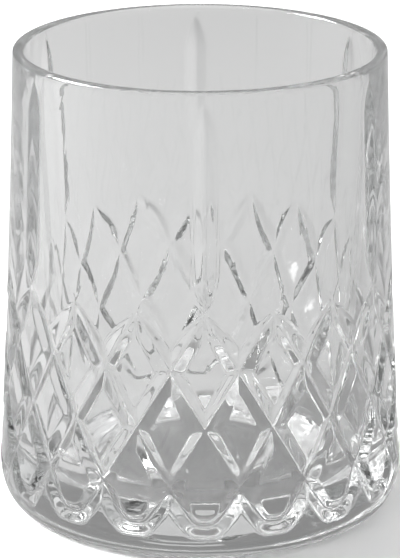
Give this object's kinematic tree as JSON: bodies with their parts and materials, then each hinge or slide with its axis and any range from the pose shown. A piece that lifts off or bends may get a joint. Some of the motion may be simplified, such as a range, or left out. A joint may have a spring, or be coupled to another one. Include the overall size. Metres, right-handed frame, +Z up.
{
  "type": "whiskey tumbler",
  "caption": "Pressed clear glass tumbler with a flared wall, tall V slits, a belt of diamonds cut in relief, a heavy floor and a rounded foot.",
  "frame": {"origin": "on the glass's axis, at the level that its standing ring rests on", "axes": "+Z up along the axis towards the rim; one of the tall slits faces -Y"},
  "size_m": [0.0824, 0.0824, 0.095],
  "materials": {
    "clear_glass": "clear pressed soda-lime glass, fire polished"
  },
  "bodies": {
    "root": {"tumbler_glass": "clear_glass"}
  },
  "joints": []
}
